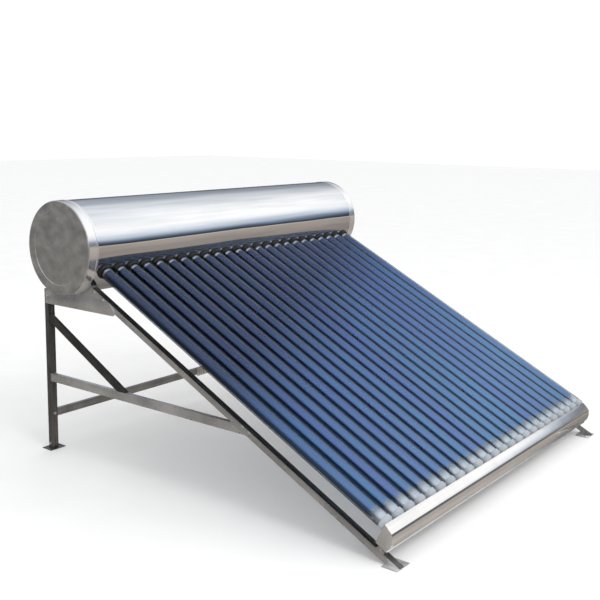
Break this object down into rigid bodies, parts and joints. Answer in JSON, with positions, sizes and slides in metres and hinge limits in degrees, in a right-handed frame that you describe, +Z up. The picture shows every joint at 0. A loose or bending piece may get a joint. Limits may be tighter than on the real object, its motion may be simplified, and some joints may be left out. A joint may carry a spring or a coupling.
{
  "type": "solar water heater",
  "caption": "Thermosiphon solar water heater: a horizontal insulated tank on a sloping steel frame, with a row of evacuated glass tubes down to a tail rail.",
  "frame": {"origin": "on the floor, under the middle of the tank's length and of the whole footprint's depth", "axes": "+X along the tank, +Y to the rear, +Z up; the tubes slope down towards -Y"},
  "size_m": [2, 2.0152, 1.2107],
  "materials": {
    "mirror_steel": "mirror-polished stainless sheet",
    "cap_steel": "satin stainless, slightly mottled",
    "tail_steel": "bright stainless sheet",
    "frame_steel": "satin stainless",
    "dark_frame_steel": "dark satin stainless",
    "bolt_steel": "zinc-bright hexagon bolts",
    "inner_steel": "food-grade stainless",
    "pipe_steel": "satin stainless pipe",
    "tube_glass": "clear borosilicate over a deep blue absorber coating",
    "black_rubber": "matte black",
    "white_silicone": "satin white silicone",
    "cup_plastic": "translucent pale plastic",
    "foam": "rigid polyurethane foam, matte"
  },
  "bodies": {
    "heater_frame": {"cold_inlet_pipe": "pipe_steel", "cross_bar_splice": "frame_steel", "dust_rings": "black_rubber", "end_cap_left": "cap_steel", "end_cap_right": "cap_steel", "foam_insulation": "foam", "foot_pad_front_left": "frame_steel", "foot_pad_front_right": "frame_steel", "foot_pad_rear_left": "frame_steel", "foot_pad_rear_right": "frame_steel", "frame_bolts": "bolt_steel", "front_cross_tie": "frame_steel", "front_rail_left": "frame_steel", "front_rail_right": "frame_steel", "hot_outlet_pipe": "pipe_steel", "inner_head_left": "inner_steel", "inner_head_right": "inner_steel", "inner_tank_barrel": "inner_steel", "knee_brace_left": "dark_frame_steel", "knee_brace_right": "dark_frame_steel", "port_grommets": "black_rubber", "rear_cross_bar_left": "frame_steel", "rear_cross_bar_right": "frame_steel", "rear_leg_left": "frame_steel", "rear_leg_right": "frame_steel", "side_tie_left": "frame_steel", "side_tie_right": "frame_steel", "tail_end_cap_left": "tail_steel", "tail_end_cap_right": "tail_steel", "tail_rail": "tail_steel", "tank_outer_shell": "mirror_steel", "tank_saddle_left": "frame_steel", "tank_saddle_right": "frame_steel", "tube_cups": "cup_plastic", "tube_seals": "white_silicone", "vent_pipe": "pipe_steel"},
    "tube_01": {"evacuated_tube_01": "tube_glass"},
    "tube_02": {"evacuated_tube_02": "tube_glass"},
    "tube_03": {"evacuated_tube_03": "tube_glass"},
    "tube_04": {"evacuated_tube_04": "tube_glass"},
    "tube_05": {"evacuated_tube_05": "tube_glass"},
    "tube_06": {"evacuated_tube_06": "tube_glass"},
    "tube_07": {"evacuated_tube_07": "tube_glass"},
    "tube_08": {"evacuated_tube_08": "tube_glass"},
    "tube_09": {"evacuated_tube_09": "tube_glass"},
    "tube_10": {"evacuated_tube_10": "tube_glass"},
    "tube_11": {"evacuated_tube_11": "tube_glass"},
    "tube_12": {"evacuated_tube_12": "tube_glass"},
    "tube_13": {"evacuated_tube_13": "tube_glass"},
    "tube_14": {"evacuated_tube_14": "tube_glass"},
    "tube_15": {"evacuated_tube_15": "tube_glass"},
    "tube_16": {"evacuated_tube_16": "tube_glass"},
    "tube_17": {"evacuated_tube_17": "tube_glass"},
    "tube_18": {"evacuated_tube_18": "tube_glass"},
    "tube_19": {"evacuated_tube_19": "tube_glass"},
    "tube_20": {"evacuated_tube_20": "tube_glass"},
    "tube_21": {"evacuated_tube_21": "tube_glass"},
    "tube_22": {"evacuated_tube_22": "tube_glass"},
    "tube_23": {"evacuated_tube_23": "tube_glass"},
    "tube_24": {"evacuated_tube_24": "tube_glass"}
  },
  "joints": [
    {"name": "tube_01_slide", "type": "slide", "parent": "heater_frame", "child": "tube_01", "axis": [0, 0.8944, 0.4472], "range_m": [0, 0.03]},
    {"name": "tube_02_slide", "type": "slide", "parent": "heater_frame", "child": "tube_02", "axis": [0, 0.8944, 0.4472], "range_m": [0, 0.03]},
    {"name": "tube_03_slide", "type": "slide", "parent": "heater_frame", "child": "tube_03", "axis": [0, 0.8944, 0.4472], "range_m": [0, 0.03]},
    {"name": "tube_04_slide", "type": "slide", "parent": "heater_frame", "child": "tube_04", "axis": [0, 0.8944, 0.4472], "range_m": [0, 0.03]},
    {"name": "tube_05_slide", "type": "slide", "parent": "heater_frame", "child": "tube_05", "axis": [0, 0.8944, 0.4472], "range_m": [0, 0.03]},
    {"name": "tube_06_slide", "type": "slide", "parent": "heater_frame", "child": "tube_06", "axis": [0, 0.8944, 0.4472], "range_m": [0, 0.03]},
    {"name": "tube_07_slide", "type": "slide", "parent": "heater_frame", "child": "tube_07", "axis": [0, 0.8944, 0.4472], "range_m": [0, 0.03]},
    {"name": "tube_08_slide", "type": "slide", "parent": "heater_frame", "child": "tube_08", "axis": [0, 0.8944, 0.4472], "range_m": [0, 0.03]},
    {"name": "tube_09_slide", "type": "slide", "parent": "heater_frame", "child": "tube_09", "axis": [0, 0.8944, 0.4472], "range_m": [0, 0.03]},
    {"name": "tube_10_slide", "type": "slide", "parent": "heater_frame", "child": "tube_10", "axis": [0, 0.8944, 0.4472], "range_m": [0, 0.03]},
    {"name": "tube_11_slide", "type": "slide", "parent": "heater_frame", "child": "tube_11", "axis": [0, 0.8944, 0.4472], "range_m": [0, 0.03]},
    {"name": "tube_12_slide", "type": "slide", "parent": "heater_frame", "child": "tube_12", "axis": [0, 0.8944, 0.4472], "range_m": [0, 0.03]},
    {"name": "tube_13_slide", "type": "slide", "parent": "heater_frame", "child": "tube_13", "axis": [0, 0.8944, 0.4472], "range_m": [0, 0.03]},
    {"name": "tube_14_slide", "type": "slide", "parent": "heater_frame", "child": "tube_14", "axis": [0, 0.8944, 0.4472], "range_m": [0, 0.03]},
    {"name": "tube_15_slide", "type": "slide", "parent": "heater_frame", "child": "tube_15", "axis": [0, 0.8944, 0.4472], "range_m": [0, 0.03]},
    {"name": "tube_16_slide", "type": "slide", "parent": "heater_frame", "child": "tube_16", "axis": [0, 0.8944, 0.4472], "range_m": [0, 0.03]},
    {"name": "tube_17_slide", "type": "slide", "parent": "heater_frame", "child": "tube_17", "axis": [0, 0.8944, 0.4472], "range_m": [0, 0.03]},
    {"name": "tube_18_slide", "type": "slide", "parent": "heater_frame", "child": "tube_18", "axis": [0, 0.8944, 0.4472], "range_m": [0, 0.03]},
    {"name": "tube_19_slide", "type": "slide", "parent": "heater_frame", "child": "tube_19", "axis": [0, 0.8944, 0.4472], "range_m": [0, 0.03]},
    {"name": "tube_20_slide", "type": "slide", "parent": "heater_frame", "child": "tube_20", "axis": [0, 0.8944, 0.4472], "range_m": [0, 0.03]},
    {"name": "tube_21_slide", "type": "slide", "parent": "heater_frame", "child": "tube_21", "axis": [0, 0.8944, 0.4472], "range_m": [0, 0.03]},
    {"name": "tube_22_slide", "type": "slide", "parent": "heater_frame", "child": "tube_22", "axis": [0, 0.8944, 0.4472], "range_m": [0, 0.03]},
    {"name": "tube_23_slide", "type": "slide", "parent": "heater_frame", "child": "tube_23", "axis": [0, 0.8944, 0.4472], "range_m": [0, 0.03]},
    {"name": "tube_24_slide", "type": "slide", "parent": "heater_frame", "child": "tube_24", "axis": [0, 0.8944, 0.4472], "range_m": [0, 0.03]}
  ]
}
